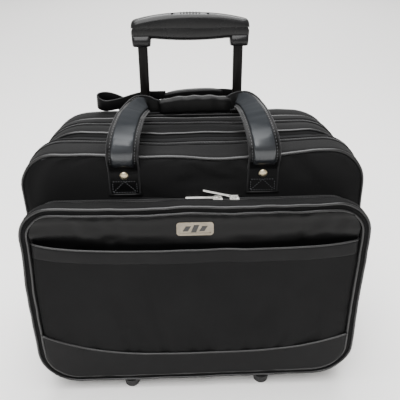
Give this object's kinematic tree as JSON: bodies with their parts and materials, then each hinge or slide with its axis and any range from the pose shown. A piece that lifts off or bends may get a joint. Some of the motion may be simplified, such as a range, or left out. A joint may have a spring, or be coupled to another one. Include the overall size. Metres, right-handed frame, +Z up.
{
  "type": "rolling laptop case",
  "caption": "Upright rolling laptop case in black fabric and vinyl with a zipped front pocket, carry handles, a telescopic pull handle and rear corner wheels.",
  "frame": {"origin": "centre of the case's footprint on the floor", "axes": "+X to the case's right seen from the front, +Y to the back where the wheels and pull handle are, +Z up"},
  "size_m": [0.4406, 0.2081, 0.4805],
  "materials": {
    "fabric": "black ballistic nylon weave",
    "vinyl": "black leather-like vinyl, semi-gloss",
    "strap": "glossy padded black vinyl strap",
    "lining": "charcoal lining",
    "zip_tape": "black zip tape with coil",
    "zip_metal": "bright nickel",
    "tube": "black anodised aluminium, satin",
    "grip": "dark grey moulded plastic, satin",
    "button": "grey moulded plastic",
    "base_plastic": "black moulded plastic",
    "foot_rubber": "black rubber",
    "tyre": "black polyurethane tread",
    "hub": "grey moulded plastic",
    "steel": "zinc-plated steel",
    "brass": "pale antique brass",
    "plate": "warm satin nickel"
  },
  "bodies": {
    "case": {"base_tray": "base_plastic", "foot_left": "foot_rubber", "foot_right": "foot_rubber", "rear_shell": "fabric", "back_panel": "fabric", "kick_plate": "base_plastic", "handle_cup": "base_plastic", "outer_tube_left": "tube", "outer_tube_right": "tube", "tube_bracket": "base_plastic", "bracket_screws": "steel", "wheel_housing_left": "base_plastic", "wheel_housing_right": "base_plastic", "axle_left": "steel", "axle_right": "steel", "rear_strap_patches": "vinyl", "laptop_pad": "lining"},
    "wheel_left": {"tyre_left": "tyre", "hub_left": "hub", "bearings_left": "steel"},
    "wheel_right": {"tyre_right": "tyre", "hub_right": "hub", "bearings_right": "steel"},
    "mid_tubes": {"mid_tube_left": "tube", "mid_tube_right": "tube"},
    "pull_handle": {"inner_tube_left": "tube", "inner_tube_right": "tube", "grip_upper": "grip", "grip_lower": "grip", "button_spring": "steel"},
    "button": {"release_button": "button", "push_rods": "steel"},
    "lock_left": {"lock_pin_left": "steel"},
    "lock_right": {"lock_pin_right": "steel"},
    "laptop_section": {"laptop_shell": "fabric", "laptop_zip": "zip_tape"},
    "main_section": {"main_shell": "fabric", "pocket_bucket": "vinyl", "organiser_panel": "lining", "pocket_zip": "zip_tape", "strap_patches": "vinyl", "strap_rivets": "brass", "main_zip": "zip_tape"},
    "flap": {"flap_shell": "vinyl", "slip_pocket": "fabric", "name_plate": "plate"},
    "front_handle": {"front_handle_straps": "strap", "front_handle_grip": "vinyl"},
    "rear_handle": {"rear_handle_straps": "strap", "rear_handle_grip": "vinyl"},
    "pocket_slider_left": {"pocket_slider_left": "zip_metal"},
    "pocket_slider_right": {"pocket_slider_right": "zip_metal"},
    "pocket_pull_left": {"pocket_pull_left": "zip_metal"},
    "pocket_pull_right": {"pocket_pull_right": "zip_metal"},
    "main_slider": {"main_slider": "zip_metal"},
    "main_pull": {"main_pull": "zip_metal"},
    "laptop_slider": {"laptop_slider": "zip_metal"},
    "laptop_pull": {"laptop_pull": "zip_metal"}
  },
  "joints": [
    {"name": "laptop_open", "type": "hinge", "parent": "case", "child": "laptop_section", "pos_m": [0, -0.095, 0.018], "axis": [1, 0, 0], "range_deg": [0, 8]},
    {"name": "main_open", "type": "hinge", "parent": "laptop_section", "child": "main_section", "pos_m": [0, -0.095, 0.018], "axis": [1, 0, 0], "range_deg": [0, 12]},
    {"name": "flap_open", "type": "hinge", "parent": "main_section", "child": "flap", "pos_m": [0, -0.1033, 0.084], "axis": [1, 0, 0], "range_deg": [0, 85]},
    {"name": "front_handle_swing", "type": "hinge", "parent": "main_section", "child": "front_handle", "pos_m": [0, -0.0555, 0.323], "axis": [1, 0, 0], "range_deg": [0, 110]},
    {"name": "rear_handle_swing", "type": "hinge", "parent": "case", "child": "rear_handle", "pos_m": [0, 0.101, 0.302], "axis": [1, 0, 0], "range_deg": [-110, 0]},
    {"name": "mid_slide", "type": "slide", "parent": "case", "child": "mid_tubes", "axis": [0, 0, 1], "range_m": [0, 0.25]},
    {"name": "inner_slide", "type": "slide", "parent": "mid_tubes", "child": "pull_handle", "axis": [0, 0, 1], "range_m": [-0.113, 0.136]},
    {"name": "button_press", "type": "slide", "parent": "pull_handle", "child": "button", "axis": [0, 0, 1], "range_m": [-0.0035, 0], "stiffness_N_per_m": 500, "springref_m": 0.003, "deforming": ["button_spring"]},
    {"name": "lock_left_slide", "type": "slide", "parent": "pull_handle", "child": "lock_left", "axis": [-1, 0, 0], "range_m": [-0.00245, 0]},
    {"name": "lock_right_slide", "type": "slide", "parent": "pull_handle", "child": "lock_right", "axis": [1, 0, 0], "range_m": [-0.00245, 0]},
    {"name": "wheel_left_spin", "type": "hinge", "parent": "case", "child": "wheel_left", "pos_m": [-0.186, 0.075, 0.025], "axis": [1, 0, 0], "continuous": true},
    {"name": "wheel_right_spin", "type": "hinge", "parent": "case", "child": "wheel_right", "pos_m": [0.186, 0.075, 0.025], "axis": [1, 0, 0], "continuous": true},
    {"name": "pocket_slider_left_slide", "type": "slide", "parent": "main_section", "child": "pocket_slider_left", "axis": [1, 0, 0], "range_m": [-0.18, 0]},
    {"name": "pocket_slider_right_slide", "type": "slide", "parent": "main_section", "child": "pocket_slider_right", "axis": [1, 0, 0], "range_m": [0, 0.11]},
    {"name": "pocket_pull_left_lift", "type": "hinge", "parent": "pocket_slider_left", "child": "pocket_pull_left", "pos_m": [0.03, -0.0548, 0.2791], "axis": [0, 1, 0], "range_deg": [0, 16]},
    {"name": "pocket_pull_right_lift", "type": "hinge", "parent": "pocket_slider_right", "child": "pocket_pull_right", "pos_m": [0.051, -0.0548, 0.2791], "axis": [0, 1, 0], "range_deg": [0, 95]},
    {"name": "main_slider_slide", "type": "slide", "parent": "main_section", "child": "main_slider", "axis": [0, 0, 1], "range_m": [0, 0.15]},
    {"name": "laptop_slider_slide", "type": "slide", "parent": "laptop_section", "child": "laptop_slider", "axis": [0, 0, 1], "range_m": [0, 0.15]},
    {"name": "main_pull_swing", "type": "hinge", "parent": "main_slider", "child": "main_pull", "pos_m": [0.2181, -0.0124, 0.118], "axis": [0, -1, 0], "range_deg": [0, 150]},
    {"name": "laptop_pull_swing", "type": "hinge", "parent": "laptop_slider", "child": "laptop_pull", "pos_m": [-0.2181, 0.0406, 0.118], "axis": [0, 1, 0], "range_deg": [0, 150]}
  ],
  "couplings": [
    {"joint": "lock_left_slide", "follows": "button_press", "ratio": 0.7},
    {"joint": "lock_right_slide", "follows": "button_press", "ratio": 0.7}
  ]
}
